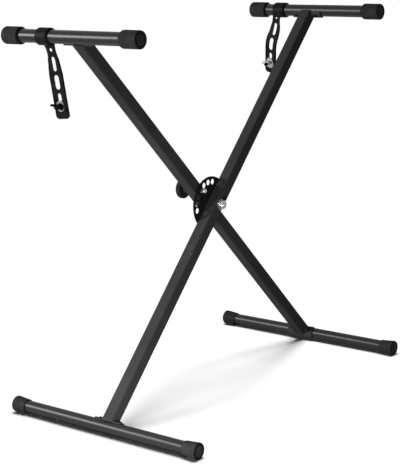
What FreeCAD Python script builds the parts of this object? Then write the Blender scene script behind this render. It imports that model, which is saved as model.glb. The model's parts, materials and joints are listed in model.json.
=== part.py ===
import FreeCAD, Part
import math
import os

# Folding keyboard stand: two crossed square legs on a pivot bolt, a foot tube and a top tube on each,
# a locking plate with a spring-loaded pull pin, and a strap on each top tube. Millimetres.
# X runs across the opening of the legs, Y along the round tubes, Z up. The origin is on the floor,
# midway between the feet. The near leg (-Y) leans towards +X, the far leg (+Y) towards -X.
# Each leg with its tubes is the other one turned half a turn about Z.

# Legs
leg_side = 25.0
leg_wall = 1.5
leg_corner = 3.0
leg_lean = 45.9  # degrees from the floor, with the pin in the middle hole
leg_gap = 4.0
lower_reach = 509.0  # pivot to foot tube axis
upper_reach = 506.0  # pivot to top tube axis

# Round tubes
tube_wall = 1.5
foot_tube_d = 24.0
foot_length = 460.0  # over the caps
foot_axis_height = 16.3
foot_shift = 10.3  # from the leg's centre towards the middle of the stand
top_tube_d = 25.0
top_length = 328.0  # over the caps
top_shift = 15.2  # from the leg's centre away from the middle of the stand

# Saddles that join the legs to the round tubes
saddle_thick = 2.5
foot_saddle_length = 64.0
top_saddle_length = 72.0
foot_saddle_outer_wrap = 45.0  # degrees round the tube from the leg's line, on the leg's upper side
foot_saddle_inner_wrap = 85.0  # and on its lower side, under the crossing
top_saddle_wrap = 42.0
saddle_screw_offset = 24.0
screw_d = 6.0
screw_head_d = 9.5
screw_head_h = 1.8
screw_length = 10.0
screw_socket_d = 4.0
screw_socket_depth = 1.4

# Caps
cap_floor = 4.0
cap_edge = 3.0
cap_recess = 0.8
top_cap_length = 42.0
top_cap_d = 33.0
top_cap_mouth_d = 28.6
foot_cap_length = 33.0
foot_cap_mouth_d = 27.2
foot_cap_end_d = 32.0
foot_pad_width = 16.0
foot_pad_length = 22.0
foot_pad_inset = 3.0
foot_pad_height = 5.0

# Pivot
running_gap = 0.05
bolt_d = 10.0
bolt_head_flats = 16.0
bolt_head_h = 6.4
bolt_end = 1.5  # beyond the nut
nut_flats = 17.0
nut_h = 9.0
nut_collar_h = 2.2
washer_d = 21.0
washer_thick = 1.5
bush_d = 16.0
spacer_d = 24.0

# Locking plate and pull pin
plate_thick = 2.2
plate_r = 55.0
plate_chord = 9.5  # beyond the pivot, on the lower side of the leg
hole_circle_r = 44.0
hole_d = 12.0
hole_pitch = 18.7  # degrees
holes_each_side = 3
fold_closed = 5.5  # degrees between the legs when folded
pin_d = 10.0
pin_reach = 12.0  # beyond the plate's near face
pin_tip_chamfer = 1.2
pin_shaft_d = 6.0
pin_flange_d = 12.4
pin_flange_thick = 2.0
pin_flange_gap = 0.5
sleeve_d = 16.0
sleeve_bore_d = 13.4
sleeve_collar_d = 21.0
sleeve_collar_thick = 2.0
sleeve_in = 3.5
sleeve_out = 10.5
sleeve_end_thick = 2.0
spring_wire = 1.6
spring_sides = 8
spring_mean_d = 9.8
spring_turns = 6
knob_d = 40.0
knob_thick = 10.5
knob_gap = 0.5
knob_edge = 2.5
knob_shaft_depth = 7.5

# Straps
ring_width = 27.0
ring_thick = 3.7
strap_width = 32.0
neck_width = 22.0
strap_web = 2.6
strap_rim = 4.6
strap_rim_width = 4.0
strap_corner = 5.0
strap_start_r = 14.0
slot_length = 27.0
slots = ((26.0, 9.0), (60.0, 12.0), (94.0, 9.0))  # (start along the strap from the ring, width)
strap_hole_at = 13.0
strap_hole_d = 7.0
shoulder_end = 58.0  # where the strap reaches its full width
rim_start = 28.0
strap_bolt_at = 117.5
strap_bolt_d = 6.0
strap_bolt_length = 21.0
strap_head_d = 20.0
strap_head_h = 5.0
strap_washer_d = 18.0
strap_washer_thick = 1.4
wing_hub_d = 12.5
wing_hub_top_d = 10.5
wing_hub_h = 8.0
wing_span = 29.0
wing_rise = 13.0
wing_thick = 3.0
wing_corner = 1.0
# A strap leaves its ring at an angle and bends as it hangs: (length, turn in degrees) for each stretch.
# Angles are from straight down, positive towards +X. side_lean tilts the whole tail towards +Y, and
# twist turns it about the vertical. nut_turn turns the wing nut on its bolt. Heads are on the +X side.
left_strap = dict(
    ring_x=-1, ring_y=93.0, start_angle=26.0, heading=17.0, side_lean=-5.0, twist=0.0, nut_turn=-20.0,
    nut_washer_d=20.0, bends=((40.0, -12.5), (44.0, 0.0), (58.0, 0.0)),
)
right_strap = dict(
    ring_x=1, ring_y=57.5, start_angle=-78.0, heading=5.0, side_lean=13.3, twist=-12.0, nut_turn=0.0,
    nut_washer_d=23.0, bends=((24.0, 1.5), (30.0, -24.0), (30.0, 28.0), (58.0, 0.0)),
)

# Derived places
lean = math.radians(leg_lean)
leg_y = (leg_side + leg_gap) / 2.0
inner_y = leg_gap / 2.0
outer_y = inner_y + leg_side
pivot_z = foot_axis_height + lower_reach * math.sin(lean)
foot_x = lower_reach * math.cos(lean)
top_x = upper_reach * math.cos(lean)
top_z = pivot_z + upper_reach * math.sin(lean)
foot_y = leg_y - foot_shift
top_y = leg_y + top_shift
plate_near_y = -inner_y
plate_far_y = plate_near_y + plate_thick
pin_angle = 180.0 - leg_lean
sleeve_end_y = outer_y + sleeve_out
flange_y = inner_y + leg_wall + pin_flange_gap
knob_y = sleeve_end_y + knob_gap

x_axis = FreeCAD.Vector(1, 0, 0)
y_axis = FreeCAD.Vector(0, 1, 0)
z_axis = FreeCAD.Vector(0, 0, 1)
near_leg_up = FreeCAD.Vector(math.cos(lean), 0, math.sin(lean))


def vec(x, y, z):
    return FreeCAD.Vector(x, y, z)


def rod(radius, start, length, direction=y_axis):
    return Part.makeCylinder(radius, length, start, direction)


def rod_y(x, z, y0, y1, radius):
    return rod(radius, vec(x, y0, z), y1 - y0)


def on_plate(angle, radius=hole_circle_r):
    """X and Z of a point at an angle about the pivot."""
    turn = math.radians(angle)
    return radius * math.cos(turn), pivot_z + radius * math.sin(turn)


def turned(profile, x=0.0, y=0.0, z=0.0, outwards=1):
    """Solid of revolution from (distance along the axis, radius) points. The axis is along Y or -Y."""
    points = [vec(radius, 0, along) for along, radius in profile]
    face = Part.Face(Part.makePolygon(points + points[:1]))
    solid = face.revolve(vec(0, 0, 0), z_axis, 360)
    solid.Placement = FreeCAD.Placement(vec(x, y, z), FreeCAD.Rotation(z_axis, y_axis * outwards))
    return solid


def square_bar(side, corner):
    """A bar the length of a leg, along +X, with its long edges rounded. The pivot is at the origin."""
    length = lower_reach + upper_reach
    bar = Part.makeBox(length, side, side, vec(-lower_reach, -side / 2.0, -side / 2.0))
    long_edges = [edge for edge in bar.Edges if abs(edge.tangentAt(edge.FirstParameter).x) > 0.99]
    return bar.makeFillet(corner, long_edges)


def hexagon(flats, height, start, direction):
    radius = flats / math.sqrt(3.0)
    corners = [vec(radius * math.cos(math.radians(turn)), radius * math.sin(math.radians(turn)), 0)
               for turn in range(0, 360, 60)]
    prism = Part.Face(Part.makePolygon(corners + corners[:1])).extrude(vec(0, 0, height))
    prism.Placement = FreeCAD.Placement(start, FreeCAD.Rotation(z_axis, direction))
    return prism


def half_turn(shape):
    """The same piece on the other leg."""
    other = shape.copy()
    other.rotate(vec(0, 0, 0), z_axis, 180)
    return other


def screw_seats(x, z):
    """Where the two saddle screws cross the round tube's axis."""
    return [vec(x, -leg_y + side * saddle_screw_offset, z) for side in (-1, 1)]


# Near leg and its tubes, in place. The far leg's are their half turns.


def leg_tube():
    """Square tube, coped at both ends to sit on its saddles."""
    tube = square_bar(leg_side, leg_corner).cut(square_bar(leg_side - 2 * leg_wall, leg_corner - leg_wall))
    tube.rotate(vec(0, 0, 0), y_axis, -leg_lean)
    tube.translate(vec(0, -leg_y, pivot_z))
    foot_cope = rod_y(-foot_x, foot_axis_height, -2 * leg_side, leg_side, foot_tube_d / 2.0 + saddle_thick)
    top_cope = rod_y(top_x, top_z, -2 * leg_side, leg_side, top_tube_d / 2.0 + saddle_thick)
    bush_hole = rod_y(0, pivot_z, -outer_y - 1, -inner_y + 1, bush_d / 2.0)
    return tube.cut(foot_cope).cut(top_cope).cut(bush_hole)


def near_leg_tube():
    """The near leg's inner wall has a hole that takes the pin when the stand is folded."""
    x, z = on_plate(leg_lean + fold_closed)
    park_hole = rod_y(x, z, -inner_y - leg_wall - 1, 0, hole_d / 2.0)
    return leg_tube().cut(park_hole)


def far_leg_tube():
    """The far leg carries the pin: its inner wall guides the pin and its outer wall holds the sleeve."""
    x, z = on_plate(pin_angle)
    pin_hole = rod_y(x, z, 0, inner_y + 3 * leg_wall, pin_d / 2.0 + running_gap)
    sleeve_hole = rod_y(x, z, outer_y - 2 * leg_wall, outer_y + 1, sleeve_d / 2.0)
    return half_turn(leg_tube()).cut(pin_hole).cut(sleeve_hole)


def saddle(x, z, tube_d, length, outer_wrap, inner_wrap, towards_pivot):
    """Curved plate between a leg's end and its round tube, with a screw hole each side of the leg."""
    inner_r = tube_d / 2.0
    shell = Part.makeCylinder(inner_r + saddle_thick, length, vec(0, 0, 0), z_axis, outer_wrap + inner_wrap)
    shell = shell.cut(Part.makeCylinder(inner_r, length))
    shell.rotate(vec(0, 0, 0), z_axis, -outer_wrap)
    facing = FreeCAD.Rotation(towards_pivot, x_axis, y_axis, "ZXY")
    place = FreeCAD.Placement(vec(x, -leg_y - length / 2.0, z), facing)
    shell.Placement = place.multiply(shell.Placement)
    for seat in screw_seats(x, z):
        shell = shell.cut(rod(screw_d / 2.0, seat, tube_d, towards_pivot))
    return shell


def saddle_screws(x, z, tube_d, towards_pivot):
    """Two button-head screws through the saddle's wings into the round tube."""
    screws = []
    under_head = tube_d / 2.0 + saddle_thick
    for seat in screw_seats(x, z):
        start = seat + towards_pivot * (under_head - screw_length)
        shank = rod(screw_d / 2.0, start, screw_length, towards_pivot)
        head_start = seat + towards_pivot * under_head
        head = Part.makeCone(screw_head_d / 2.0, screw_head_d / 3.0, screw_head_h, head_start, towards_pivot)
        socket_start = head_start + towards_pivot * (screw_head_h - screw_socket_depth)
        socket = rod(screw_socket_d / 2.0, socket_start, screw_head_h, towards_pivot)
        # the head bears on a curved plate, so its underside follows the plate
        seat_shape = rod_y(x, z, -top_saddle_length, top_saddle_length, under_head)
        skirt = rod(screw_head_d / 2.0, start, screw_length, towards_pivot).cut(seat_shape)
        screws.append(shank.fuse(head).fuse(skirt).cut(socket).removeSplitter())
    return Part.makeCompound(screws)


def ring(outer_d, bore_d, y0, y1, x=0.0, z=pivot_z):
    return rod_y(x, z, y0, y1, outer_d / 2.0).cut(rod_y(x, z, y0, y1, bore_d / 2.0))


def round_tube(x, y, z, tube_d, length, towards_pivot):
    """Round tube that stops inside its end caps, with two screw holes under the saddle."""
    end = length / 2.0 - cap_floor
    tube = ring(tube_d, tube_d - 2 * tube_wall, y - end, y + end, x, z)
    for seat in screw_seats(x, z):
        tube = tube.cut(rod(screw_d / 2.0, seat, tube_d, towards_pivot))
    return tube


def cap_profile(length, mouth_d, mouth_chamfer, end_d, tube_d):
    """Cup open at the mouth, 0 along the axis, with a rounded outer end and a shallow recess in it."""
    bore = tube_d / 2.0
    end = end_d / 2.0
    round_points = []
    for step in range(5):
        turn = math.radians(22.5 * step)
        along = length - cap_edge + cap_edge * math.sin(turn)
        round_points.append((along, end - cap_edge + cap_edge * math.cos(turn)))
    rim = end - cap_edge - 1.0
    mouth = [(0, bore), (0, mouth_d / 2.0)]
    if mouth_chamfer:
        mouth.append((mouth_chamfer, end))
    face = [(length, rim), (length - cap_recess, rim - cap_recess), (length - cap_recess, 0)]
    return mouth + round_points + face + [(length - cap_floor, 0), (length - cap_floor, bore)]


def top_cap(y_side):
    """Round rubber cap on a top tube's end. y_side is -1 or 1."""
    profile = cap_profile(top_cap_length, top_cap_mouth_d, 3.0, top_cap_d, top_tube_d)
    mouth_y = -top_y + y_side * (top_length / 2.0 - top_cap_length)
    return turned(profile, top_x, mouth_y, top_z, y_side)


def foot_cap(y_side):
    """Flared rubber cap on a foot tube's end, with a flat pad under it."""
    profile = cap_profile(foot_cap_length, foot_cap_mouth_d, 0.0, foot_cap_end_d, foot_tube_d)
    mouth_y = -foot_y + y_side * (foot_length / 2.0 - foot_cap_length)
    cap = turned(profile, -foot_x, mouth_y, foot_axis_height, y_side)
    pad_end = mouth_y + y_side * (foot_cap_length - foot_pad_inset)
    pad_y = min(pad_end, pad_end - y_side * foot_pad_length)
    pad_corner = vec(-foot_x - foot_pad_width / 2.0, pad_y, 0)
    pad = Part.makeBox(foot_pad_width, foot_pad_length, foot_pad_height, pad_corner)
    upright = [edge for edge in pad.Edges if abs(edge.tangentAt(edge.FirstParameter).z) > 0.99]
    pad = pad.makeFillet(cap_edge, upright)
    bore_start = min(mouth_y - y_side, mouth_y + y_side * (foot_cap_length - cap_floor))
    bore_length = foot_cap_length - cap_floor + 1
    bore = rod(foot_tube_d / 2.0, vec(-foot_x, bore_start, foot_axis_height), bore_length)
    return cap.fuse(pad).cut(bore).removeSplitter()


# Pivot


def pivot_bolt():
    head_y = outer_y + running_gap + washer_thick
    shank_end = -(outer_y + washer_thick + nut_h + bolt_end)
    shank = rod_y(0, pivot_z, shank_end, head_y, bolt_d / 2.0)
    head = hexagon(bolt_head_flats, bolt_head_h, vec(0, head_y, pivot_z), y_axis)
    return head.fuse(shank).removeSplitter()


def pivot_nut():
    """Hex lock nut with a round collar on its free end."""
    start_y = -outer_y - washer_thick
    hexagon_h = nut_h - nut_collar_h
    body = hexagon(nut_flats, hexagon_h, vec(0, start_y, pivot_z), y_axis * -1)
    collar = Part.makeCone(nut_flats * 0.47, nut_flats * 0.38, nut_collar_h,
                           vec(0, start_y - hexagon_h, pivot_z), y_axis * -1)
    return body.fuse(collar).cut(rod_y(0, pivot_z, -2 * outer_y, 0, bolt_d / 2.0)).removeSplitter()


def locking_plate():
    """Disc cut off along the near leg's lower side and welded to its inner face."""
    disc = rod_y(0, pivot_z, plate_near_y, plate_far_y, plate_r)
    waste_corner = vec(-2 * plate_r, -2 * plate_r, -plate_r - plate_chord)
    waste = Part.makeBox(4 * plate_r, 4 * plate_r, plate_r, waste_corner)
    waste.rotate(vec(0, 0, 0), y_axis, -leg_lean)
    waste.translate(vec(0, 0, pivot_z))
    plate = disc.cut(waste).cut(rod_y(0, pivot_z, -inner_y - 1, inner_y, bolt_d / 2.0))
    angles = [pin_angle + hole_pitch * step for step in range(-holes_each_side, holes_each_side + 1)]
    for angle in angles + [leg_lean + fold_closed]:
        x, z = on_plate(angle)
        plate = plate.cut(rod_y(x, z, -inner_y - 1, inner_y, hole_d / 2.0))
    return plate


# Pull pin on the far leg


def locking_pin():
    """Pin with a tapered tip, a flange for the spring and a thin shaft to the knob."""
    tip = plate_near_y - pin_reach
    x, z = on_plate(pin_angle)
    profile = [
        (0, 0), (0, pin_d / 2.0 - pin_tip_chamfer), (pin_tip_chamfer, pin_d / 2.0),
        (flange_y - tip, pin_d / 2.0), (flange_y - tip, pin_flange_d / 2.0),
        (flange_y + pin_flange_thick - tip, pin_flange_d / 2.0),
        (flange_y + pin_flange_thick - tip, pin_shaft_d / 2.0),
        (knob_y + knob_shaft_depth - tip, pin_shaft_d / 2.0), (knob_y + knob_shaft_depth - tip, 0),
    ]
    return turned(profile, x, tip, z)


def pin_sleeve():
    """Sleeve through the far leg's outer wall. It holds the spring and guides the shaft."""
    x, z = on_plate(pin_angle)
    body = rod_y(x, z, outer_y - sleeve_in, sleeve_end_y, sleeve_d / 2.0)
    collar = rod_y(x, z, outer_y, outer_y + sleeve_collar_thick, sleeve_collar_d / 2.0)
    chamber = rod_y(x, z, outer_y - sleeve_in, sleeve_end_y - sleeve_end_thick, sleeve_bore_d / 2.0)
    guide = rod_y(x, z, outer_y, sleeve_end_y, pin_shaft_d / 2.0 + running_gap)
    return body.fuse(collar).cut(chamber).cut(guide).removeSplitter()


def pin_spring():
    """Compression spring between the pin's flange and the sleeve's end wall, of eight-sided wire."""
    x, z = on_plate(pin_angle)
    start = flange_y + pin_flange_thick + running_gap + spring_wire / 2.0
    end = sleeve_end_y - sleeve_end_thick - running_gap - spring_wire / 2.0
    helix = Part.makeHelix((end - start) / spring_turns, end - start, spring_mean_d / 2.0)
    corners = []
    for side in range(spring_sides):
        turn = 2 * math.pi * (side + 0.5) / spring_sides
        across = spring_wire / 2.0 / math.cos(math.pi / spring_sides)
        corners.append(vec(spring_mean_d / 2.0 + across * math.cos(turn), 0, across * math.sin(turn)))
    wire = Part.makePolygon(corners + corners[:1])
    coil = Part.Wire(helix.Edges).makePipeShell([wire], True, True)
    coil.Placement = FreeCAD.Placement(vec(x, start, z), FreeCAD.Rotation(z_axis, y_axis))
    return coil


def pull_knob():
    """Round knob fixed on the pin's shaft."""
    x, z = on_plate(pin_angle)
    knob = rod_y(x, z, knob_y, knob_y + knob_thick, knob_d / 2.0)
    rims = [edge for edge in knob.Edges if isinstance(edge.Curve, Part.Circle)]
    knob = knob.makeFillet(knob_edge, rims)
    return knob.cut(rod_y(x, z, knob_y - 1, knob_y + knob_shaft_depth, pin_shaft_d / 2.0))


# Straps


def heading_vectors(heading):
    """Direction along the strap and its normal towards +X, for a heading from straight down."""
    turn = math.radians(heading)
    return vec(math.sin(turn), 0, -math.cos(turn)), vec(math.cos(turn), 0, math.sin(turn))


def strap_point(strap, distance):
    """Point and heading at a distance along the strap from where it leaves its ring."""
    turn = math.radians(strap["start_angle"])
    point = vec(strap["ring_x"] * top_x, strap["ring_y"], top_z)
    point += vec(math.sin(turn), 0, -math.cos(turn)) * strap_start_r
    heading = strap["heading"]
    for length, bend in strap["bends"]:
        step = min(distance, length)
        part_bend = bend * step / length
        half = math.radians(abs(part_bend) / 2.0)
        chord = step * math.sin(half) / half if half > 0 else step
        point = point + heading_vectors(heading + part_bend / 2.0)[0] * chord
        heading += part_bend
        distance -= step
        if distance <= 0:
            break
    return point, heading


def strap_edge(strap, distance, offset):
    point, heading = strap_point(strap, distance)
    return point + heading_vectors(heading)[1] * offset


def strap_sheet(strap, thick, y0, y1):
    """The strap's bent sheet between two Y values, measured from its own middle."""
    edges = []
    corners = []
    for offset in (thick / 2.0, -thick / 2.0):
        start = 0.0
        for length, bend in strap["bends"]:
            ends = [strap_edge(strap, start + length * share, offset) for share in (0.0, 0.5, 1.0)]
            edges.append(Part.Arc(*ends).toShape() if bend else Part.makeLine(ends[0], ends[2]))
            start += length
        corners.append((strap_edge(strap, 0.0, offset), strap_edge(strap, start, offset)))
    edges.append(Part.makeLine(corners[0][0], corners[1][0]))
    edges.append(Part.makeLine(corners[0][1], corners[1][1]))
    face = Part.Face(Part.Wire(Part.__sortEdges__(edges)))
    sheet = face.extrude(vec(0, y1 - y0, 0))
    sheet.translate(vec(0, y0, 0))
    return sheet


def strap_cutter(strap, distance, outline, depth=15.0):
    """Prism through the strap from (along, across) points about a place on it."""
    point, heading = strap_point(strap, distance)
    along, normal = heading_vectors(heading)
    corners = [point + along * a + y_axis * b - normal * depth for a, b in outline]
    return Part.Face(Part.makePolygon(corners + corners[:1])).extrude(normal * 2 * depth)


def strap_slot(strap, start, width):
    middle = start + slot_length / 2.0
    reach = (slot_length - width) / 2.0
    half = width / 2.0
    slot = strap_cutter(strap, middle, [(-reach, -half), (reach, -half), (reach, half), (-reach, half)])
    point, heading = strap_point(strap, middle)
    along, normal = heading_vectors(heading)
    for end in (-reach, reach):
        slot = slot.fuse(rod(half, point + along * end - normal * 15, 30, normal))
    return slot


def hung(strap, shape):
    """The shape tilted sideways and twisted with the strap's tail, about the middle of the ring."""
    ring_middle = vec(strap["ring_x"] * top_x, strap["ring_y"], top_z)
    turned_shape = shape.copy()
    turned_shape.rotate(ring_middle, x_axis, strap["side_lean"])
    turned_shape.rotate(ring_middle, z_axis, strap["twist"])
    return turned_shape


def strap_body(strap):
    """Moulded strap: a ring round the top tube and a slotted tail with a rim along each side."""
    half = strap_width / 2.0
    neck = neck_width / 2.0
    total = sum(length for length, bend in strap["bends"])
    tail = strap_sheet(strap, strap_web, -half, half)
    for side in (-1, 1):
        outer = side * half
        inner = side * (half - strap_rim_width)
        rim = strap_sheet(strap, strap_rim, min(outer, inner), max(outer, inner))
        rim = rim.cut(strap_cutter(strap, 0, [(-30, -30), (rim_start, -30), (rim_start, 30), (-30, 30)]))
        tail = tail.fuse(rim)
    for side in (-1, 1):
        flare = side * ring_width / 2.0
        shoulder = [(-20, flare), (2, flare), (8, side * (neck + 0.6)), (13, side * neck), (20, side * neck),
                    (shoulder_end, side * half), (shoulder_end, side * 30), (-20, side * 30)]
        tail = tail.cut(strap_cutter(strap, 0, shoulder, 40.0))
        corner = [(0, side * (half - strap_corner)), (0, side * 30), (-strap_corner, side * 30),
                  (-strap_corner, side * half)]
        tail = tail.cut(strap_cutter(strap, total, corner))
    for start, width in slots:
        tail = tail.cut(strap_slot(strap, start, width))
    point, heading = strap_point(strap, strap_hole_at)
    normal = heading_vectors(heading)[1]
    tail = hung(strap, tail.cut(rod(strap_hole_d / 2.0, point - normal * 10, 20, normal)))
    x = strap["ring_x"] * top_x
    y = strap["ring_y"]
    bore = top_tube_d / 2.0 + running_gap
    band = ring(2 * (bore + ring_thick), 2 * bore, y - ring_width / 2.0, y + ring_width / 2.0, x, top_z)
    tail = tail.cut(rod_y(x, top_z, y - strap_width, y + strap_width, bore))
    return band.fuse(tail).removeSplitter()


def bolt_frame(strap):
    """Where the strap's bolt crosses its middle, and the direction to its head."""
    point, heading = strap_point(strap, strap_bolt_at)
    return point, heading_vectors(heading)[1]


def strap_washer(strap):
    point, out = bolt_frame(strap)
    start = point + out * (strap_web / 2.0 + running_gap)
    return rod(strap_washer_d / 2.0, start, strap_washer_thick, out).cut(
        rod(strap_bolt_d / 2.0, start, strap_washer_thick, out))


def strap_bolt(strap):
    """Bolt with a wide domed head."""
    point, out = bolt_frame(strap)
    seat = strap_web / 2.0 + running_gap + strap_washer_thick
    head = rod(strap_head_d / 2.0, point + out * seat, strap_head_h, out)
    dome_r = (strap_head_d ** 2 / 4.0 + strap_head_h ** 2) / (2.0 * strap_head_h) + 1.5
    dome = Part.makeSphere(dome_r, point + out * (seat + strap_head_h - dome_r))
    shank = rod(strap_bolt_d / 2.0, point + out * (seat - strap_bolt_length), strap_bolt_length, out)
    return head.common(dome).fuse(shank).removeSplitter()


def strap_nut_washer(strap):
    point, out = bolt_frame(strap)
    start = point - out * (strap_web / 2.0 + running_gap)
    return rod(strap["nut_washer_d"] / 2.0, start, strap_washer_thick, out * -1).cut(
        rod(strap_bolt_d / 2.0, start, strap_washer_thick, out * -1))


def wing_nut(strap):
    """Wing nut on the side of the strap away from the head, wings along Y before it is turned."""
    point, out = bolt_frame(strap)
    inward = out * -1
    base = point + inward * (strap_web / 2.0 + 2 * running_gap + strap_washer_thick)
    hub = Part.makeCone(wing_hub_d / 2.0, wing_hub_top_d / 2.0, wing_hub_h, base, inward)
    across = inward.cross(y_axis)
    tip = wing_span / 2.0
    wing_tip_y = tip - 5.0
    nut = hub
    for side in (-1, 1):
        outline = [(3.0, 1.0), (wing_hub_d / 2.0, 0.8), (tip, wing_rise * 0.55),
                   (tip, wing_rise), (tip - 4.0, wing_rise), (4.0, wing_hub_h - 0.5)]
        corners = [base + y_axis * (side * b) + inward * a - across * (wing_thick / 2.0) for b, a in outline]
        wing = Part.Face(Part.makePolygon(corners + corners[:1])).extrude(across * wing_thick)
        tips = [edge for edge in wing.Edges
                if edge.Length < wing_thick + 0.01 and abs(edge.CenterOfMass.y - point.y) > wing_tip_y]
        nut = nut.fuse(wing.makeFillet(wing_corner, tips))
    bore = rod(strap_bolt_d / 2.0 + running_gap, base - inward, wing_rise + 2, inward)
    nut = nut.cut(bore).removeSplitter()
    nut.rotate(point, inward, strap["nut_turn"])
    return nut


def build():
    """Every piece by name. The far leg's pieces are the near leg's, turned half a turn."""
    foot_pivotwards = near_leg_up
    top_pivotwards = near_leg_up * -1
    foot_place = (-foot_x, foot_axis_height, foot_tube_d)
    top_place = (top_x, top_z, top_tube_d)
    near = {
        "foot_saddle": saddle(*foot_place, foot_saddle_length, foot_saddle_outer_wrap,
                              foot_saddle_inner_wrap, foot_pivotwards),
        "top_saddle": saddle(*top_place, top_saddle_length, top_saddle_wrap, top_saddle_wrap, top_pivotwards),
        "foot_screws": saddle_screws(*foot_place, foot_pivotwards),
        "top_screws": saddle_screws(*top_place, top_pivotwards),
        "foot_tube": round_tube(
            -foot_x, -foot_y, foot_axis_height, foot_tube_d, foot_length, foot_pivotwards),
        "top_tube": round_tube(top_x, -top_y, top_z, top_tube_d, top_length, top_pivotwards),
        "foot_cap_front": foot_cap(-1),
        "foot_cap_rear": foot_cap(1),
        "top_cap_front": top_cap(-1),
        "top_cap_rear": top_cap(1),
    }
    swapped = {"front": "rear", "rear": "front"}
    nodes = {"near_leg_tube": near_leg_tube(), "far_leg_tube": far_leg_tube()}
    for name, shape in near.items():
        nodes["near_" + name] = shape
        stem, end = name.rsplit("_", 1)
        far_name = stem + "_" + swapped.get(end, end)
        nodes["far_" + far_name] = half_turn(shape)
    nodes["near_pivot_bush"] = ring(bush_d, bolt_d, -outer_y, -inner_y)
    nodes["far_pivot_bush"] = ring(bush_d, bolt_d + 2 * running_gap, inner_y, outer_y)
    nodes["pivot_bolt"] = pivot_bolt()
    nodes["pivot_lock_nut"] = pivot_nut()
    nodes["nut_washer"] = ring(washer_d, bolt_d, -outer_y - washer_thick, -outer_y)
    head_washer_y = outer_y + running_gap
    nodes["head_washer"] = ring(washer_d, bolt_d, head_washer_y, head_washer_y + washer_thick)
    nodes["pivot_spacer"] = ring(spacer_d, bolt_d, plate_far_y, inner_y - running_gap)
    nodes["locking_plate"] = locking_plate()
    nodes["locking_pin"] = locking_pin()
    nodes["pin_sleeve"] = pin_sleeve()
    nodes["pin_spring"] = pin_spring()
    nodes["pull_knob"] = pull_knob()
    for side, strap in (("left", left_strap), ("right", right_strap)):
        nodes[side + "_strap"] = strap_body(strap)
        nodes[side + "_strap_washer"] = hung(strap, strap_washer(strap))
        nodes[side + "_strap_bolt"] = hung(strap, strap_bolt(strap))
        nodes[side + "_nut_washer"] = hung(strap, strap_nut_washer(strap))
        nodes[side + "_wing_nut"] = hung(strap, wing_nut(strap))
    return nodes


os.makedirs("parts", exist_ok=True)
for name, shape in build().items():
    shape.exportStep("parts/" + name + ".step")
    print(name, "solids", len(shape.Solids), "valid", shape.isValid(), "volume", round(shape.Volume, 1))
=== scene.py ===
import bpy
import json
import math
from mathutils import Matrix, Vector


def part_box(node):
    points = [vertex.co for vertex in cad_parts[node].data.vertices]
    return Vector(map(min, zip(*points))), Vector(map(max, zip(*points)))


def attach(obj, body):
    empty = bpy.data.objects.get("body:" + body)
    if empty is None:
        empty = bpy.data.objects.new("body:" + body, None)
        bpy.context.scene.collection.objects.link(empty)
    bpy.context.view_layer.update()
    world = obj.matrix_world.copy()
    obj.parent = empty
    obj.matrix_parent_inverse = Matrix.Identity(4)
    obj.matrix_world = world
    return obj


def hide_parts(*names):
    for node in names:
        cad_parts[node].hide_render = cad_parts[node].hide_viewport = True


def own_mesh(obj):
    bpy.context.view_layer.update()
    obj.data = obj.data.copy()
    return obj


# A folding keyboard stand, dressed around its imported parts. Metres, +Z up, +Y along the round tubes.

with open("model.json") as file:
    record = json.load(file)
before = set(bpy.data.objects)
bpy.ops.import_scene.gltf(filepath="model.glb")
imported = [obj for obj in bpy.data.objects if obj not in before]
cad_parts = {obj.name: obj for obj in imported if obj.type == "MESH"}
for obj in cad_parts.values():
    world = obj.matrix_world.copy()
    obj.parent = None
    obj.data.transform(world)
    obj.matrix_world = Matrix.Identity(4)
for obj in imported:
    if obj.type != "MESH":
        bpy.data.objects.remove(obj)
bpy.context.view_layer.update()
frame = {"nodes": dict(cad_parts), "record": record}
nodes = frame["nodes"]
scene = bpy.context.scene
millimetre = 0.001

cameraFacts = {
    "place": Vector((-2.1456, -1.6578, 0.9400)),
    "yaw": 0.66589,
    "pitch": 0.22503,
    "roll": -0.030984,
    "focalPixels": 1362.5,
    "framePixels": (400, 467),
    "sensor": 36.0,
}


def makeCamera(facts):
    yaw, pitch, roll = facts["yaw"], facts["pitch"], facts["roll"]
    forward = Vector((math.cos(yaw) * math.cos(pitch), math.sin(yaw) * math.cos(pitch), -math.sin(pitch)))
    right = Vector((math.sin(yaw), -math.cos(yaw), 0.0))
    up = right.cross(forward)
    rolledRight = right * math.cos(roll) + up * math.sin(roll)
    rolledUp = up * math.cos(roll) - right * math.sin(roll)
    data = bpy.data.cameras.new("camera")
    data.sensor_fit = "VERTICAL"
    data.sensor_height = facts["sensor"]
    data.lens = facts["focalPixels"] * facts["sensor"] / facts["framePixels"][1]
    camera = bpy.data.objects.new("camera", data)
    turn = Matrix((rolledRight, rolledUp, -forward)).transposed()
    camera.matrix_world = Matrix.Translation(facts["place"]) @ turn.to_4x4()
    scene.collection.objects.link(camera)
    scene.camera = camera


makeCamera(cameraFacts)
print("camera placed")

# Shader node groups, shared by the materials


def newGroup(name, inputs, outputs):
    # inputs are (name, type, value), outputs are (name, type)
    group = bpy.data.node_groups.new(name, "ShaderNodeTree")
    for label, kind, value in inputs:
        socket = group.interface.new_socket(label, in_out="INPUT", socket_type=kind)
        socket.default_value = value
    for label, kind in outputs:
        group.interface.new_socket(label, in_out="OUTPUT", socket_type=kind)
    return group, group.nodes.new("NodeGroupInput"), group.nodes.new("NodeGroupOutput")


def noise(tree, scale, vector, detail):
    node = tree.nodes.new("ShaderNodeTexNoise")
    node.inputs["Detail"].default_value = detail
    if isinstance(scale, float):
        node.inputs["Scale"].default_value = scale
    else:
        tree.links.new(scale, node.inputs["Scale"])
    tree.links.new(vector, node.inputs["Vector"])
    return node.outputs["Fac"]


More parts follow.
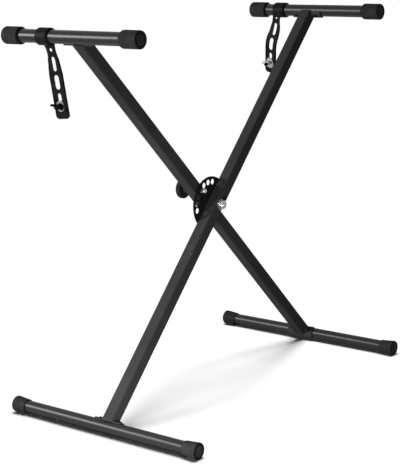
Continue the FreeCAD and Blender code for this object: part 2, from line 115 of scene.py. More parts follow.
def mapRange(tree, value, low, high, toLow=0.0, toHigh=1.0):
    node = tree.nodes.new("ShaderNodeMapRange")
    tree.links.new(value, node.inputs["Value"])
    for label, setting in (("From Min", low), ("From Max", high), ("To Min", toLow), ("To Max", toHigh)):
        if isinstance(setting, float):
            node.inputs[label].default_value = setting
        else:
            tree.links.new(setting, node.inputs[label])
    return node.outputs["Result"]


def mixColour(tree, factor, first, second):
    node = tree.nodes.new("ShaderNodeMix")  # inputs 6 and 7 and output 2 are its colours
    node.data_type = "RGBA"
    tree.links.new(factor, node.inputs["Factor"])
    for slot, value in ((6, first), (7, second)):
        if isinstance(value, tuple):
            node.inputs[slot].default_value = value
        else:
            tree.links.new(value, node.inputs[slot])
    return node.outputs[2]


def arithmetic(tree, operation, first, second):
    node = tree.nodes.new("ShaderNodeMath")
    node.operation = operation
    for slot, value in enumerate((first, second)):
        if isinstance(value, float):
            node.inputs[slot].default_value = value
        else:
            tree.links.new(value, node.inputs[slot])
    return node.outputs["Value"]


def coordinates(tree, stretch=None):
    texture = tree.nodes.new("ShaderNodeTexCoord")
    if stretch is None:
        return texture.outputs["Object"]
    mapping = tree.nodes.new("ShaderNodeMapping")
    mapping.inputs["Scale"].default_value = stretch
    tree.links.new(texture.outputs["Object"], mapping.inputs["Vector"])
    return mapping.outputs["Vector"]


finishGroupFacts = {
    "cloudDetail": 5.0, "cloudsFrom": 0.3, "cloudsTo": 0.7, "skinDetail": 2.0, "skinShare": 0.3,
}
wearGroupFacts = {
    "patchScale": 7.0, "patchDetail": 2.0, "patchFrom": 0.52, "patchTo": 0.7,
    "markStretch": (1.0, 0.35, 1.0), "markDetail": 6.0, "markFrom": 0.62, "markTo": 0.7,
}
platingGroupFacts = {
    "bloomScale": 260.0, "bloomDetail": 4.0, "bloomFrom": 0.35, "bloomTo": 0.65,
    "lineScale": 700.0, "lineStretch": (1.0, 8.0, 1.0), "lineDetail": 2.0,
}


def makeFinishGroup(facts):
    # slow colour clouds, roughness clouds and a fine skin for paint, rubber and plastic
    inputs = [
        ("Dark", "NodeSocketColor", (0.01, 0.01, 0.01, 1)),
        ("Light", "NodeSocketColor", (0.02, 0.02, 0.02, 1)),
        ("Cloud Scale", "NodeSocketFloat", 9.0), ("Skin Scale", "NodeSocketFloat", 900.0),
        ("Smooth", "NodeSocketFloat", 0.4), ("Rough", "NodeSocketFloat", 0.5),
    ]
    outputs = [("Color", "NodeSocketColor"), ("Roughness", "NodeSocketFloat"), ("Height", "NodeSocketFloat")]
    tree, given, made = newGroup("skinFinish", inputs, outputs)
    place = coordinates(tree)
    clouds = noise(tree, given.outputs["Cloud Scale"], place, facts["cloudDetail"])
    skin = noise(tree, given.outputs["Skin Scale"], place, facts["skinDetail"])
    soft = mapRange(tree, clouds, facts["cloudsFrom"], facts["cloudsTo"])
    tree.links.new(mixColour(tree, soft, given.outputs["Dark"], given.outputs["Light"]), made.inputs["Color"])
    cloudPart = arithmetic(tree, "MULTIPLY", soft, 1.0 - facts["skinShare"])
    spread = arithmetic(tree, "ADD", cloudPart, arithmetic(tree, "MULTIPLY", skin, facts["skinShare"]))
    rough = mapRange(tree, spread, 0.0, 1.0, given.outputs["Smooth"], given.outputs["Rough"])
    tree.links.new(rough, made.inputs["Roughness"])
    tree.links.new(skin, made.inputs["Height"])
    return tree


def makeWearGroup(facts):
    # sparse small scuffs, 0 to 1
    inputs = [("Scale", "NodeSocketFloat", 60.0), ("Amount", "NodeSocketFloat", 0.3)]
    tree, given, made = newGroup("scuffs", inputs, [("Mask", "NodeSocketFloat")])
    patches = noise(tree, facts["patchScale"], coordinates(tree), facts["patchDetail"])
    patches = mapRange(tree, patches, facts["patchFrom"], facts["patchTo"])
    marks = noise(tree, given.outputs["Scale"], coordinates(tree, facts["markStretch"]), facts["markDetail"])
    marks = mapRange(tree, marks, facts["markFrom"], facts["markTo"])
    mask = arithmetic(tree, "MULTIPLY", patches, marks)
    tree.links.new(arithmetic(tree, "MULTIPLY", mask, given.outputs["Amount"]), made.inputs["Mask"])
    return tree


def makePlatingGroup(facts):
    # fine lines and a slight bloom for plated and turned metal
    inputs = [
        ("Bright", "NodeSocketColor", (0.7, 0.71, 0.73, 1)),
        ("Dull", "NodeSocketColor", (0.45, 0.46, 0.48, 1)),
        ("Smooth", "NodeSocketFloat", 0.2), ("Rough", "NodeSocketFloat", 0.4),
    ]
    outputs = [("Color", "NodeSocketColor"), ("Roughness", "NodeSocketFloat"), ("Height", "NodeSocketFloat")]
    tree, given, made = newGroup("plating", inputs, outputs)
    bloom = noise(tree, facts["bloomScale"], coordinates(tree), facts["bloomDetail"])
    bloom = mapRange(tree, bloom, facts["bloomFrom"], facts["bloomTo"])
    lines = noise(tree, facts["lineScale"], coordinates(tree, facts["lineStretch"]), facts["lineDetail"])
    colour = mixColour(tree, bloom, given.outputs["Bright"], given.outputs["Dull"])
    tree.links.new(colour, made.inputs["Color"])
    rough = mapRange(tree, bloom, 0.0, 1.0, given.outputs["Smooth"], given.outputs["Rough"])
    tree.links.new(rough, made.inputs["Roughness"])
    tree.links.new(lines, made.inputs["Height"])
    return tree


finishGroup = makeFinishGroup(finishGroupFacts)
wearGroup = makeWearGroup(wearGroupFacts)
platingGroup = makePlatingGroup(platingGroupFacts)


def placeGroup(tree, group, values):
    node = tree.nodes.new("ShaderNodeGroup")
    node.node_tree = group
    for label, value in values.items():
        node.inputs[label].default_value = value
    return node


def startMaterial(name, specular, metallic=0.0):
    material = bpy.data.materials.new(name)
    material.use_nodes = True
    shader = material.node_tree.nodes["Principled BSDF"]
    shader.inputs["Metallic"].default_value = metallic
    shader.inputs["Specular IOR Level"].default_value = specular
    return material, material.node_tree, shader


def addBump(tree, shader, height, depth, strength):
    bump = tree.nodes.new("ShaderNodeBump")
    bump.inputs["Distance"].default_value = depth
    bump.inputs["Strength"].default_value = strength
    tree.links.new(height, bump.inputs["Height"])
    tree.links.new(bump.outputs["Normal"], shader.inputs["Normal"])


def skinMaterial(name, facts):
    # paint, rubber or plastic with clouds, a fine skin and scuffs
    material, tree, shader = startMaterial(name, facts["specular"])
    finish = placeGroup(tree, finishGroup, {
        "Dark": (*facts["dark"], 1), "Light": (*facts["light"], 1), "Cloud Scale": facts["clouds"],
        "Skin Scale": facts["skin"], "Smooth": facts["smooth"], "Rough": facts["rough"]})
    wear = placeGroup(tree, wearGroup, {"Scale": facts["scuffScale"], "Amount": facts["scuffs"]})
    colour = mixColour(tree, wear.outputs["Mask"], finish.outputs["Color"], (*facts["scuffColour"], 1))
    tree.links.new(colour, shader.inputs["Base Color"])
    tree.links.new(finish.outputs["Roughness"], shader.inputs["Roughness"])
    addBump(tree, shader, finish.outputs["Height"], facts["skinDepth"] * millimetre, facts["bump"])
    return material


def metalMaterial(name, facts):
    material, tree, shader = startMaterial(name, facts["specular"], metallic=1.0)
    plating = placeGroup(tree, platingGroup, {
        "Bright": (*facts["bright"], 1), "Dull": (*facts["dull"], 1),
        "Smooth": facts["smooth"], "Rough": facts["rough"]})
    tree.links.new(plating.outputs["Color"], shader.inputs["Base Color"])
    tree.links.new(plating.outputs["Roughness"], shader.inputs["Roughness"])
    addBump(tree, shader, plating.outputs["Height"], facts["lineDepth"] * millimetre, facts["bump"])
    return material


legPaintFacts = {
    "dark": (0.0260, 0.0260, 0.0268), "light": (0.0345, 0.0345, 0.0354), "clouds": 9.0, "skin": 1100.0,
    "smooth": 0.42, "rough": 0.52, "specular": 0.004, "skinDepth": 0.06, "bump": 0.5,
    "scuffs": 0.35, "scuffScale": 70.0, "scuffColour": (0.07, 0.07, 0.072),
}
tubePaintFacts = dict(legPaintFacts, dark=(0.0105, 0.0105, 0.0109), light=(0.014, 0.014, 0.0145),
                      smooth=0.33, rough=0.36, specular=0.13, bump=0.04)
rubberFacts = {
    "dark": (0.0135, 0.0135, 0.014), "light": (0.0195, 0.0195, 0.0202), "clouds": 40.0, "skin": 1900.0,
    "smooth": 0.55, "rough": 0.7, "specular": 0.03, "skinDepth": 0.08, "bump": 0.6,
    "scuffs": 0.5, "scuffScale": 160.0, "scuffColour": (0.09, 0.09, 0.092),
}
platePaintFacts = dict(legPaintFacts, dark=(0.008, 0.008, 0.0083), light=(0.0115, 0.0115, 0.012))
# a near-black copy of the cap rubber, painted shade on the caps' mouths and end-disc edges
paintedShadeFacts = dict(rubberFacts, dark=(0.0015, 0.0015, 0.0016), light=(0.0025, 0.0025, 0.0026),
                   specular=0.05, scuffs=0.0)
strapFacts = dict(rubberFacts, dark=(0.0035, 0.0035, 0.0037), light=(0.006, 0.006, 0.0063),
                  smooth=0.42, rough=0.55)
knobFacts = dict(rubberFacts, dark=(0.008, 0.008, 0.0084), light=(0.012, 0.012, 0.0124),
                 smooth=0.4, rough=0.5)
oxideFacts = dict(legPaintFacts, dark=(0.006, 0.006, 0.0063), light=(0.011, 0.011, 0.0114),
                  smooth=0.3, rough=0.42, clouds=60.0, scuffScale=300.0)
nylonFacts = dict(rubberFacts, dark=(0.66, 0.65, 0.6), light=(0.74, 0.73, 0.69),
                  scuffColour=(0.5, 0.49, 0.45))
zincFacts = {
    "bright": (0.50, 0.50, 0.52), "dull": (0.20, 0.205, 0.215), "smooth": 0.2, "rough": 0.38,
    "specular": 0.5, "lineDepth": 0.05, "bump": 0.4,
}
springFacts = dict(zincFacts, bright=(0.5, 0.5, 0.51), dull=(0.36, 0.36, 0.37), smooth=0.3, rough=0.45)
bushFacts = dict(zincFacts, bright=(0.56, 0.56, 0.57), dull=(0.42, 0.42, 0.43), smooth=0.25, rough=0.4)

legPaint = skinMaterial("legPaint", legPaintFacts)
tubePaint = skinMaterial("tubePaint", tubePaintFacts)
platePaint = skinMaterial("platePaint", platePaintFacts)
capRubber = skinMaterial("capRubber", rubberFacts)
# near-black rubber that paints shade on the caps' mouths and end-disc edges
paintedShadeRubber = skinMaterial("paintedShadeRubber", paintedShadeFacts)
strapRubber = skinMaterial("strapRubber", strapFacts)
knobPlastic = skinMaterial("knobPlastic", knobFacts)
blackOxide = skinMaterial("blackOxide", oxideFacts)
spacerNylon = skinMaterial("spacerNylon", nylonFacts)
zincPlate = metalMaterial("zincPlate", zincFacts)
springSteel = metalMaterial("springSteel", springFacts)
bushSteel = metalMaterial("bushSteel", bushFacts)

finishBySlot = {
    "black_paint": legPaint, "cap_rubber": capRubber, "strap_rubber": strapRubber,
    "knob_plastic": knobPlastic,
    "zinc_plate": zincPlate, "black_hardware": blackOxide, "spring_steel": springSteel,
    "spacer_nylon": spacerNylon, "bush_steel": bushSteel,
}
slotOf = {part["node"]: part["material_slot"] for part in frame["record"]["subparts"]}
bodyOf = {name: body for body, names in frame["record"]["behaviour"]["bodies"].items() for name in names}
for name, node in nodes.items():
    node.data.materials.clear()
    finish = finishBySlot[slotOf[name]]
    if name.endswith("foot_tube") or name.endswith("top_tube"):
        finish = tubePaint
    if name == "locking_plate":
        finish = platePaint
    node.data.materials.append(finish)
print("materials made")

# Pieces


def addPiece(name, mesh, material, replaced):
    # a new piece that stands for CAD nodes of one body, and rides on that body
    if not mesh.materials:
        mesh.materials.append(material)
    mesh.materials[0] = material
    mesh.polygons.foreach_set("use_smooth", [True] * len(mesh.polygons))
    piece = bpy.data.objects.new(name, mesh)
    scene.collection.objects.link(piece)
    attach(piece, bodyOf[replaced[0]])
    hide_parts(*replaced)
    return piece


def axisPoint(low, high, y):
    # the point at this Y on the middle line of a box
    return Vector(((low[0] + high[0]) / 2, y, (low[2] + high[2]) / 2))


def shade(mesh, material, dark, origin, axis, chosen):
    # the faces that chosen(along, radius) picks get the dark material, which is painted shade, and the rest
    # have the first material
    mesh.materials.append(material)
    mesh.materials.append(dark)
    for face in mesh.polygons:
        offset = face.center - origin
        along = offset.dot(axis)
        radius = (offset - axis * along).length
        if chosen(along / millimetre, radius / millimetre):
            face.material_index = 1


def axisFrame(axis):
    # two directions across an axis that isn't upright, so that a turned piece starts at a known angle
    across = axis.cross(Vector((0, 0, 1))).normalized()
    return across, axis.cross(across).normalized()


def turnedMesh(name, outline, origin, axis, segments, shape):
    # turns an outline of (along, radius) in millimetres about an axis, and shape gives each point's radius
    # a radius of 0 at either end closes the piece, otherwise the outline's two ends are joined
    first, second = axisFrame(axis)
    vertices = []
    rings = []
    for along, radius in outline:
        if radius == 0:
            rings.append([len(vertices)])
            vertices.append(origin + axis * along * millimetre)
            continue
        ring = []
        for step in range(segments):
            angle = 2 * math.pi * step / segments
            reach = shape(along, radius, angle)
            spoke = first * math.cos(angle) + second * math.sin(angle)
            ring.append(len(vertices))
            vertices.append(origin + (axis * along + spoke * reach) * millimetre)
        rings.append(ring)
    pairs = list(zip(rings, rings[1:]))
    if outline[0][1] > 0 and outline[-1][1] > 0:
        pairs.append((rings[-1], rings[0]))
    faces = []
    for one, two in pairs:
        for step in range(segments):
            after = (step + 1) % segments
            if len(one) == 1:
                faces.append((one[0], two[step], two[after]))
            elif len(two) == 1:
                faces.append((one[step], two[0], one[after]))
            else:
                faces.append((one[step], two[step], two[after], one[after]))
    mesh = bpy.data.meshes.new(name)
    mesh.from_pydata(vertices, [], faces)
    mesh.validate()
    return mesh


def softenedMesh(name, node, facts):
    # the node's own form with its edges moulded round
    piece = bpy.data.objects.new(name, nodes[node].data.copy())
    scene.collection.objects.link(piece)
    remesh = piece.modifiers.new("remesh", "REMESH")
    remesh.mode = "VOXEL"
    remesh.voxel_size = facts["voxel"] * millimetre
    smooth = piece.modifiers.new("smooth", "SMOOTH")
    smooth.iterations = facts["passes"]
    smooth.factor = facts["factor"]
    mesh = bpy.data.meshes.new_from_object(piece.evaluated_get(bpy.context.evaluated_depsgraph_get()))
    bpy.data.objects.remove(piece)
    mesh.name = name
    return mesh


topCapFacts = {
    "length": 42.0, "boreRadius": 12.55, "mouthRadius": 14.3, "radius": 16.5, "chamfer": 3.0, "round": 3.0,
    "ribsFrom": 4.2, "ribsTo": 24.0, "ribCount": 56, "ribDepth": 0.45, "ribRound": 0.6, "ribRings": 12,
    "ribPower": 0.6,
    "grooveRadius": 12.2, "grooveWidth": 1.3, "grooveDepth": 1.4, "floor": 4.0,
    "boreEdge": 0.5, "lip": 0.4, "shoulder": 0.15, "pointsPerRib": 6,
}
footCapFacts = {
    "length": 33.0, "boreRadius": 12.05, "mouthRadius": 13.6, "radius": 16.0, "round": 3.0,
    "facetCount": 14, "facetDepth": 0.35, "facetPower": 3, "facetsFrom": 1.5, "facetRings": 8,
    "pointsPerFacet": 10,
    "grooveRadius": 11.4, "grooveWidth": 1.1, "grooveDepth": 0.9, "floor": 4.0, "boreRound": 0.3, "lip": 0.4,
    "padWidth": 16.0, "padLength": 22.0, "padInset": 3.0, "padCorner": 2.5, "cornerSteps": 4,
    "padLevels": ((0.0, 0.94), (0.35, 0.985), (0.9, 1.0), (5.0, 1.0)),  # heights, and shares of the outline
}
endDiscFacts = {
    "roundSteps": 6, "soften": 0.15, "taper": 0.1, "inset": 0.4, "innerRing": 0.4, "paintedShadeRound": 0.45,
}


def quarterTurn(steps):
    return [math.radians(90 / steps * step) for step in range(steps + 1)]


def endFace(facts):
    # rounded outer edge and a grooved end disc
    length, radius, edge = facts["length"], facts["radius"], facts["round"]
    points = []
    for turn in quarterTurn(endDiscFacts["roundSteps"]):
        points.append((length - edge + edge * math.sin(turn), radius - edge + edge * math.cos(turn)))
    groove, width, depth = facts["grooveRadius"], facts["grooveWidth"], facts["grooveDepth"]
    soften, taper, inset = endDiscFacts["soften"], endDiscFacts["taper"], endDiscFacts["inset"]
    points += [(length, groove + soften), (length - soften, groove), (length - depth, groove - taper),
               (length - depth, groove - width), (length - inset - soften, groove - width - taper),
               (length - inset, groove - width - inset), (length - inset, groove * endDiscFacts["innerRing"]),
               (length - inset, 0.0)]
    return points


def topCapOutline(facts):
    radius, bore, mouth = facts["radius"], facts["boreRadius"], facts["mouthRadius"]
    floor = facts["length"] - facts["floor"]
    lip, chamfer, start, stop = facts["lip"], facts["chamfer"], facts["ribsFrom"], facts["ribsTo"]
    outline = [(floor, 0.0), (floor, bore), (facts["boreEdge"], bore), (0.0, bore + lip), (0.0, mouth - lip),
               (lip, mouth), (chamfer - lip, radius - lip), (chamfer, radius - facts["shoulder"]),
               (start - facts["ribRound"], radius)]
    for step in range(facts["ribRings"] + 1):
        outline.append((start + (stop - start) * (step / facts["ribRings"]), radius))
    outline.append((stop + facts["ribRound"], radius))
    return outline + endFace(facts)


def ribbed(facts):
    def shape(along, radius, angle):
        onRibs = facts["ribsFrom"] <= along <= facts["ribsTo"] and radius > facts["mouthRadius"]
        if not onRibs:
            return radius
        wave = 0.5 + 0.5 * math.cos(facts["ribCount"] * angle)
        return radius - facts["ribDepth"] * (1 - wave ** facts["ribPower"])
    return shape


def capShadow(facts, mouthDepth):
    # the deep edges of a cap's mouth and end disc, where no light reaches the rubber; these faces get a
    # near-black rubber as painted shade
    def chosen(along, radius):
        inMouth = along < mouthDepth and radius > facts["boreRadius"]
        nearEnd = along > facts["length"] - facts["round"] * endDiscFacts["paintedShadeRound"]
        return inMouth or (nearEnd and radius > facts["grooveRadius"] - facts["grooveWidth"])
    return chosen


def makeTopCaps(facts):
    for leg in ("near", "far"):
        for end in ("front", "rear"):
            node, name = leg + "_top_cap_" + end, leg + "TopCap_" + end
            low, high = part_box(node)
            side = -1 if end == "front" else 1
            mouth = axisPoint(low, high, high[1] if end == "front" else low[1])
            axis = Vector((0, side, 0))
            mesh = turnedMesh(name, topCapOutline(facts), mouth, axis,
                              facts["ribCount"] * facts["pointsPerRib"], ribbed(facts))
            shade(mesh, capRubber, paintedShadeRubber, mouth, axis, capShadow(facts, facts["chamfer"]))
            addPiece(name, mesh, capRubber, [node])


def footCapOutline(facts):
    bore, mouth, lip = facts["boreRadius"], facts["mouthRadius"], facts["lip"]
    floor, flare = facts["length"] - facts["floor"], facts["length"] - facts["round"]
    outline = [(floor, 0.0), (floor, bore), (lip, bore), (0.0, bore + facts["boreRound"]), (0.0, mouth - lip),
               (lip, mouth)]
    slope = (facts["radius"] - mouth) / flare
    for step in range(1, facts["facetRings"] + 1):
        along = facts["facetsFrom"] + (flare - 2 * facts["facetsFrom"]) * step / facts["facetRings"]
        outline.append((along, mouth + slope * along))
    return outline + endFace(facts)


def faceted(facts):
    def shape(along, radius, angle):
        flared = facts["facetsFrom"] < along < facts["length"] - facts["round"]
        if not (flared and radius > facts["mouthRadius"]):
            return radius
        wave = abs(math.sin(facts["facetCount"] * angle / 2))
        return radius - facts["facetDepth"] * (1 - wave) ** facts["facetPower"]
    return shape


def padMesh(facts, middle, side):
    # flat pad under a foot cap, with rounded corners
    half, halfLength, corner = facts["padWidth"] / 2, facts["padLength"] / 2, facts["padCorner"]
    centre = facts["length"] - facts["padInset"] - halfLength
    outline = []
    for signX, signY in ((1, 1), (-1, 1), (-1, -1), (1, -1)):
        start = math.atan2(signY, signX) - math.pi / 4
        for turn in quarterTurn(facts["cornerSteps"]):
            outline.append((signX * (half - corner) + corner * math.cos(start + turn),
                            signY * (halfLength - corner) + corner * math.sin(start + turn)))
    vertices = []
    for height, share in facts["padLevels"]:
        for x, y in outline:
            along = side * (centre + y * share)
            vertices.append(Vector((middle[0] + x * share * millimetre, middle[1] + along * millimetre,
                                    height * millimetre)))
    count, top = len(outline), len(facts["padLevels"]) - 1
    faces = [tuple(range(count)), tuple(range(top * count, (top + 1) * count))]
    for level in range(top):
        for step in range(count):
            here, after = level * count + step, level * count + (step + 1) % count
            faces.append((here, after, after + count, here + count))
    pad = bpy.data.meshes.new("pad")
    pad.from_pydata(vertices, [], faces)
    return pad


def joined(name, meshes):
    # one mesh from several, in place
    vertices, faces = [], []
    for mesh in meshes:
        start = len(vertices)
        vertices += [vertex.co.copy() for vertex in mesh.vertices]
        faces += [tuple(start + index for index in face.vertices) for face in mesh.polygons]
    whole = bpy.data.meshes.new(name)
    whole.from_pydata(vertices, [], faces)
    return whole


def makeFootCaps(facts):
    for leg in ("near", "far"):
        for end in ("front", "rear"):
            node, name = leg + "_foot_cap_" + end, leg + "FootCap_" + end
            low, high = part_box(node)
            side = -1 if end == "front" else 1
            mouth = axisPoint(low, high, high[1] if end == "front" else low[1])
            mouth.z = high[2] - facts["radius"] * millimetre  # the pad reaches below the cone
            axis = Vector((0, side, 0))
            cone = turnedMesh("cone", footCapOutline(facts), mouth, axis,
                              facts["facetCount"] * facts["pointsPerFacet"], faceted(facts))
            mesh = joined(name, [cone, padMesh(facts, mouth, side)])
            shade(mesh, capRubber, paintedShadeRubber, mouth, axis, capShadow(facts, facts["lip"]))
            addPiece(name, mesh, capRubber, [node])


makeTopCaps(topCapFacts)
makeFootCaps(footCapFacts)
print("caps made")

strapFinish = {"voxel": 0.6, "passes": 4, "factor": 0.5}
wingFinish = {"voxel": 0.4, "passes": 3, "factor": 0.5}


def makeStraps():
    for side in ("left", "right"):
        strap = softenedMesh(side + "Strap", side + "_strap", strapFinish)
        addPiece(side + "Strap", strap, strapRubber, [side + "_strap"])
        nut = softenedMesh(side + "WingNut", side + "_wing_nut", wingFinish)
        addPiece(side + "WingNut", nut, finishBySlot[slotOf[side + "_wing_nut"]], [side + "_wing_nut"])


makeStraps()
print("straps made")

knobShape = {
    "thick": 10.5, "radius": 20.0, "edge": 2.5, "edgeSteps": 5, "sideRings": 4,
    "flutes": 40, "pointsPerFlute": 8, "fluteDepth": 0.6, "fluteRound": 0.9, "flutePower": 2, "dish": 0.8,
    # shares of the radius and of the dish
    "dishRings": ((0.78, 0.0), (0.74, 0.3), (0.66, 1.0), (0.3, 1.0), (0.0, 1.0)),
}


def makeKnob(facts):
    low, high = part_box("pull_knob")
    thick, radius, edge = facts["thick"], facts["radius"], facts["edge"]
    outline = [(0.0, 0.0), (0.0, radius - edge)]
    turns = quarterTurn(facts["edgeSteps"])[1:]
    outline += [(edge - edge * math.cos(turn), radius - edge + edge * math.sin(turn)) for turn in turns]
    for step in range(1, facts["sideRings"] + 1):
        outline.append((edge + (thick - 2 * edge) * step / facts["sideRings"], radius))
    for turn in turns:
        outline.append((thick - edge + edge * math.sin(turn), radius - edge + edge * math.cos(turn)))
    outline += [(thick - facts["dish"] * depth, radius * share) for share, depth in facts["dishRings"]]

    def fluted(along, reach, angle):
        if reach < radius - edge * facts["fluteRound"]:
            return reach
        wave = 0.5 - 0.5 * math.cos(facts["flutes"] * angle)
        return reach - facts["fluteDepth"] * wave ** facts["flutePower"]

    mesh = turnedMesh("pullKnob", outline, axisPoint(low, high, low[1]), Vector((0, 1, 0)),
                      facts["flutes"] * facts["pointsPerFlute"], fluted)
    addPiece("pullKnob", mesh, knobPlastic, ["pull_knob"])


makeKnob(knobShape)
print("knob made")

lockNutShape = {
    "flats": 17.0, "segments": 96, "outline": [
        (0.0, 5.2), (0.0, 8.3), (0.7, 9.8), (6.0, 9.8), (6.8, 8.4), (6.9, 7.9), (8.1, 7.7), (8.8, 7.1),
        (9.0, 6.4), (8.8, 5.9), (8.2, 5.8), (8.2, 5.2)],
}
pivotBoltShape = {
    "flats": 16.0, "radius": 5.0, "segments": 96, "chamfer": 1.2, "headHeight": 6.4,
    "threadFrom": 0.6, "threadTo": 14.0, "runOut": 0.5, "pitch": 1.5, "depth": 0.5,
    "seat": ((0.0, 7.9), (0.4, 8.2), (0.9, 9.2)),  # above the underside of the head
    "crown": ((1.0, 9.2), (0.0, 7.7), (0.3, 6.6), (0.3, 0.0)),  # below the top of the head
}
strapBoltShape = {
    "radius": 3.0, "segments": 72, "end": -18.25, "chamfer": 0.7,
    "threadLead": 0.5, "threadTo": -3.0, "runOut": 0.3, "pitch": 1.0, "depth": 0.34,
    "seat": 2.75, "seatRound": 0.3, "headRadius": 10.0, "headHeight": 5.0,
    "domeRadius": 14.0, "domeFrom": 0.16, "domeSteps": 12,
    "socketRadius": 2.6, "socketDepth": 2.2, "socketTaper": 0.1,
}
ringsPerPitch = 8


def hexagonal(flats):
    def shape(along, radius, angle):
        corner = math.pi / 3
        return min(radius, flats / 2 / math.cos(angle % corner - corner / 2))
    return shape


def threadOutline(start, stop, radius, pitch):
    steps = int((stop - start) / pitch * ringsPerPitch)
    return [(start + (stop - start) * step / steps, radius) for step in range(steps + 1)]


def threaded(start, stop, pitch, depth, otherwise):
    # a screw thread from start to stop, and otherwise's form elsewhere
    def shape(along, radius, angle):
        if start <= along <= stop:
            turn = (along / pitch + angle / (2 * math.pi)) % 1.0
            return radius - depth * abs(2 * turn - 1)
        return otherwise(along, radius, angle)
    return shape


def plain(along, radius, angle):
    return radius


def makePivotHardware(nutFacts, boltFacts):
    low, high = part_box("pivot_lock_nut")
    nut = turnedMesh("lockNut", nutFacts["outline"], axisPoint(low, high, high[1]), Vector((0, -1, 0)),
                     nutFacts["segments"], hexagonal(nutFacts["flats"]))
    addPiece("lockNut", nut, zincPlate, ["pivot_lock_nut"])
    low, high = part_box("pivot_bolt")
    total = (high[1] - low[1]) / millimetre
    under, radius = total - boltFacts["headHeight"], boltFacts["radius"]
    start, stop, pitch = boltFacts["threadFrom"], boltFacts["threadTo"], boltFacts["pitch"]
    outline = [(0.0, 0.0), (0.0, radius - boltFacts["chamfer"])]
    outline += threadOutline(start, stop, radius, pitch)
    outline += [(stop + boltFacts["runOut"], radius), (under, radius)]
    outline += [(under + rise, reach) for rise, reach in boltFacts["seat"]]
    outline += [(total - drop, reach) for drop, reach in boltFacts["crown"]]
    screw = threaded(start, stop, pitch, boltFacts["depth"], hexagonal(boltFacts["flats"]))
    bolt = turnedMesh("pivotBolt", outline, axisPoint(low, high, low[1]), Vector((0, 1, 0)),
                      boltFacts["segments"], screw)
    addPiece("pivotBolt", bolt, zincPlate, ["pivot_bolt"])


def makeStrapBolts(facts):
    joints = {joint["name"]: joint for joint in frame["record"]["behaviour"]["joints"]}
    end, seat, radius, socket = facts["end"], facts["seat"], facts["radius"], facts["socketRadius"]
    start, stop, pitch = end + facts["threadLead"], facts["threadTo"], facts["pitch"]
    outline = [(end, 0.0), (end, radius - facts["chamfer"])] + threadOutline(start, stop, radius, pitch)
    outline += [(stop + facts["runOut"], radius), (seat, radius),
                (seat, facts["headRadius"] - facts["seatRound"])]
    sunk = facts["domeRadius"] - facts["headHeight"]
    for step in range(1, facts["domeSteps"] + 1):
        share = facts["domeFrom"] + (1 - facts["domeFrom"]) * step / facts["domeSteps"]
        height = facts["headHeight"] * share
        reach = math.sqrt(max(facts["domeRadius"] ** 2 - (height + sunk) ** 2, 0.0))
        if reach > socket:
            outline.append((seat + height, min(reach, facts["headRadius"])))
    top = outline[-1][0]
    outline += [(top, socket), (top - facts["socketDepth"], socket - facts["socketTaper"]),
                (top - facts["socketDepth"], 0.0)]
    screw = threaded(start, stop, pitch, facts["depth"], plain)
    for side in ("left", "right"):
        joint = joints[side + "_wing_nut_turn"]  # its axis is the bolt's
        place, axis = Vector(joint["pos_m"]), Vector(joint["axis"]).normalized()
        bolt = turnedMesh(side + "StrapBolt", outline, place, axis, facts["segments"], screw)
        addPiece(side + "StrapBolt", bolt, blackOxide, [side + "_strap_bolt"])


makePivotHardware(lockNutShape, pivotBoltShape)
makeStrapBolts(strapBoltShape)
print("bolts made")

springShape = {"wire": 1.6, "turns": 6, "stepsPerTurn": 28, "sides": 12, "stroke": 16.0}


def makeSpring(facts):
    # round wire, coiled at one fixed length; the real spring shortens towards the sleeve's end wall as the
    # pin is pulled
    low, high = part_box("pin_spring")
    axisX, axisZ = (low[0] + high[0]) / 2, (low[2] + high[2]) / 2
    wireRadius = facts["wire"] / 2 * millimetre
    coilRadius = (high[0] - low[0]) / 2 - wireRadius
    rise = high[1] - low[1] - 2 * wireRadius
    steps = facts["turns"] * facts["stepsPerTurn"]
    vertices, faces = [], []
    for step in range(steps + 1):
        turn = 2 * math.pi * step / facts["stepsPerTurn"]
        for side in range(facts["sides"]):
            around = 2 * math.pi * side / facts["sides"]
            reach = coilRadius + wireRadius * math.cos(around)
            height = low[1] + wireRadius + rise * step / steps + wireRadius * math.sin(around)
            vertices.append((axisX + reach * math.cos(turn), height, axisZ + reach * math.sin(turn)))
    count = facts["sides"]
    for step in range(steps):
        for side in range(count):
            corner, after = step * count + side, step * count + (side + 1) % count
            faces.append((corner, after, after + count, corner + count))
    faces.append(tuple(reversed(range(count))))
    faces.append(tuple(range(steps * count, (steps + 1) * count)))
    mesh = bpy.data.meshes.new("pinSpring")
    mesh.from_pydata(vertices, [], faces)
    spring = addPiece("pinSpring", mesh, springSteel, ["pin_spring"])
    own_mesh(spring)


makeSpring(springShape)
print("spring made")

# Studio

floorFacts = {"size": 14.0, "bounceColour": 0.2, "shownColour": 0.95, "fadeFrom": 0.6, "fadeTo": 1.3}
lampFacts = {
    "key": {
        "place": Vector((-2.25, 2.02, 1.40)), "aim": Vector((0, 0, 0.38)),
        "size": 0.9, "power": 150.0, "lights": "stand"},
    "lowFill": {
        "place": Vector((-1.25, -1.15, 0.35)), "aim": Vector((-0.35, 0.0, 0.05)),
        "size": 0.7, "power": 4.0, "lights": "stand"},
    "footFill": {
        "place": Vector((-0.86, -0.42, 0.10)), "aim": Vector((-0.34, -0.02, 0.08)),
        "size": 0.3, "power": 11.0, "lights": "stand"},
    "overhead": {
        "place": Vector((0, 0, 3.6)), "aim": Vector((0, 0, 0)),
        "size": 2.2, "power": 172.0, "lights": "floor"},
}
worldFacts = {"strength": 0.08, "shownStrength": 1.0}


def seenDirectly(tree):
    # 1 for camera, glossy and transmission rays
    rays = tree.nodes.new("ShaderNodeLightPath")
    seen = arithmetic(tree, "MAXIMUM", rays.outputs["Is Camera Ray"], rays.outputs["Is Glossy Ray"])
    return arithmetic(tree, "MAXIMUM", seen, rays.outputs["Is Transmission Ray"])


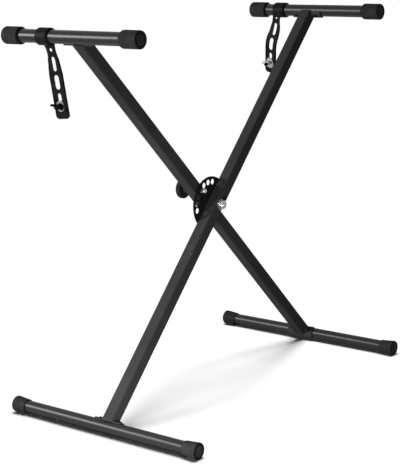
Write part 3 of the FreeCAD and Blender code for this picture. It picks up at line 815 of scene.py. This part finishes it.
def makeFloor(facts):
    # white near the stand with its shadow, and an even white further out
    half = facts["size"] / 2
    mesh = bpy.data.meshes.new("floor")
    corners = [(-half, -half, 0), (half, -half, 0), (half, half, 0), (-half, half, 0)]
    mesh.from_pydata(corners, [], [(0, 1, 2, 3)])
    floor = bpy.data.objects.new("floor", mesh)
    scene.collection.objects.link(floor)
    material, tree, shader = startMaterial("floorWhite", 0.0)
    seen = seenDirectly(tree)
    bounced = (facts["bounceColour"],) * 3 + (1,)
    shown = (facts["shownColour"],) * 3 + (1,)
    tree.links.new(mixColour(tree, seen, bounced, shown), shader.inputs["Base Color"])
    shader.inputs["Roughness"].default_value = 1.0
    distance = tree.nodes.new("ShaderNodeVectorMath")
    distance.operation = "LENGTH"
    tree.links.new(coordinates(tree), distance.inputs[0])
    fade = mapRange(tree, distance.outputs["Value"], facts["fadeFrom"], facts["fadeTo"])
    even = tree.nodes.new("ShaderNodeEmission")
    blend = tree.nodes.new("ShaderNodeMixShader")
    tree.links.new(arithmetic(tree, "MULTIPLY", fade, seen), blend.inputs["Fac"])
    tree.links.new(shader.outputs["BSDF"], blend.inputs[1])
    tree.links.new(even.outputs["Emission"], blend.inputs[2])
    tree.links.new(blend.outputs["Shader"], tree.nodes["Material Output"].inputs["Surface"])
    mesh.materials.append(material)
    return floor


def makeLamp(name, facts, floor):
    data = bpy.data.lights.new(name, "AREA")
    data.size = facts["size"]
    data.energy = facts["power"]
    lamp = bpy.data.objects.new(name, data)
    lamp.location = facts["place"]
    lamp.rotation_mode = "QUATERNION"
    lamp.rotation_quaternion = (facts["place"] - facts["aim"]).to_track_quat("Z", "Y")
    scene.collection.objects.link(lamp)
    receivers = bpy.data.collections.new(name + "Receivers")  # the floor alone, or all but the floor
    receivers.objects.link(floor)
    lamp.light_linking.receiver_collection = receivers
    if facts["lights"] == "stand":
        receivers.collection_objects[0].light_linking.link_state = "EXCLUDE"


def makeWorld(facts):
    world = bpy.data.worlds.new("studio")
    scene.world = world
    world.use_nodes = True
    tree = world.node_tree
    background = tree.nodes["Background"]
    background.inputs["Color"].default_value = (1, 1, 1, 1)
    strength = mapRange(tree, seenDirectly(tree), 0.0, 1.0, facts["strength"], facts["shownStrength"])
    tree.links.new(strength, background.inputs["Strength"])


floor = makeFloor(floorFacts)
for lampName, lampValues in lampFacts.items():
    makeLamp(lampName, lampValues, floor)
makeWorld(worldFacts)
scene.view_settings.view_transform = "Standard"
print("studio lit")
